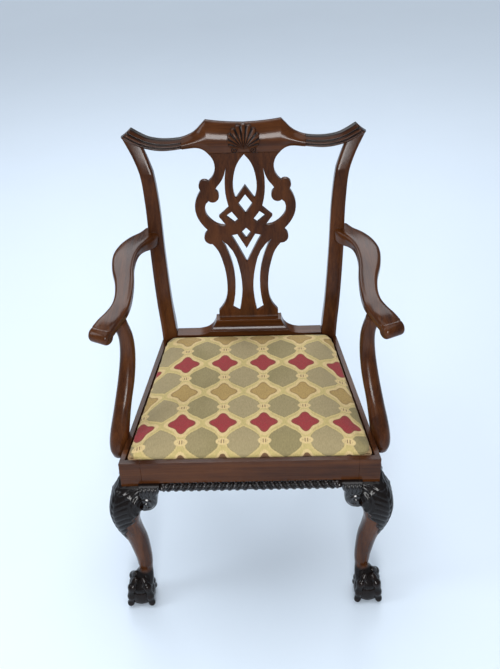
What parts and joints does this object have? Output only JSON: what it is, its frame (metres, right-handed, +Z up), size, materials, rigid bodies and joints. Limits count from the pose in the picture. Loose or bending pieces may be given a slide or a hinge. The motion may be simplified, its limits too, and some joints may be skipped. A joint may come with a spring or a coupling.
{
  "type": "armchair",
  "caption": "Open wooden armchair with a carved crest rail, pierced splat, outswept arms, cabriole front legs with ball-and-claw feet, and a lift-out upholstered seat.",
  "frame": {"origin": "middle of the chair's box in plan, on the floor", "axes": "+Z up; the chair faces -Y; +X is to the right for a person who looks at its front, and left and right in the node names follow that"},
  "size_m": [0.6656, 0.5942, 0.9955],
  "materials": {
    "mahogany": "French polished, glossy",
    "carved_mahogany": "dark stained carving, glossy",
    "beech": "plain planed",
    "screw_steel": "dull steel",
    "jute": "coarse plain weave",
    "padding": "cotton wadding",
    "lattice_fabric": "woven lattice pattern in gold, olive and red",
    "black_cambric": "thin plain weave"
  },
  "bodies": {
    "chair_frame": {"rear_post_right": "mahogany", "rear_post_left": "mahogany", "crest_rail": "mahogany", "front_seat_rail": "mahogany", "side_seat_rail_right": "mahogany", "side_seat_rail_left": "mahogany", "rear_seat_rail": "mahogany", "front_leg_right": "mahogany", "front_leg_left": "mahogany", "knee_block_front_right": "carved_mahogany", "knee_block_front_left": "carved_mahogany", "knee_block_side_right": "carved_mahogany", "knee_block_side_left": "carved_mahogany", "corner_block_front_right": "beech", "corner_block_front_left": "beech", "corner_block_rear_right": "beech", "corner_block_rear_left": "beech", "gadroon_moulding": "carved_mahogany", "splat": "mahogany", "splat_shoe": "mahogany", "arm_right": "mahogany", "arm_left": "mahogany", "arm_support_right": "mahogany", "arm_support_left": "mahogany", "corner_block_screw_front_inner_right": "screw_steel", "corner_block_screw_front_inner_left": "screw_steel", "corner_block_screw_front_outer_right": "screw_steel", "corner_block_screw_front_outer_left": "screw_steel", "corner_block_screw_rear_inner_right": "screw_steel", "corner_block_screw_rear_inner_left": "screw_steel", "corner_block_screw_rear_outer_right": "screw_steel", "corner_block_screw_rear_outer_left": "screw_steel", "arm_support_screw_lower_right": "screw_steel", "arm_support_screw_lower_left": "screw_steel", "arm_support_screw_upper_right": "screw_steel", "arm_support_screw_upper_left": "screw_steel", "arm_screw_right": "screw_steel", "arm_screw_left": "screw_steel"},
    "drop_in_seat": {"seat_frame_front": "beech", "seat_frame_back": "beech", "seat_frame_side_right": "beech", "seat_frame_side_left": "beech", "webbing_lengthwise_left": "jute", "webbing_lengthwise_middle": "jute", "webbing_lengthwise_right": "jute", "webbing_crosswise_front": "jute", "webbing_crosswise_middle": "jute", "webbing_crosswise_back": "jute", "seat_hessian": "jute", "seat_stuffing": "padding", "seat_cover": "lattice_fabric", "seat_dust_cover": "black_cambric"}
  },
  "joints": [
    {"name": "seat_lift", "type": "slide", "parent": "chair_frame", "child": "drop_in_seat", "axis": [0, 0, 1], "range_m": [0, 0.08]}
  ]
}
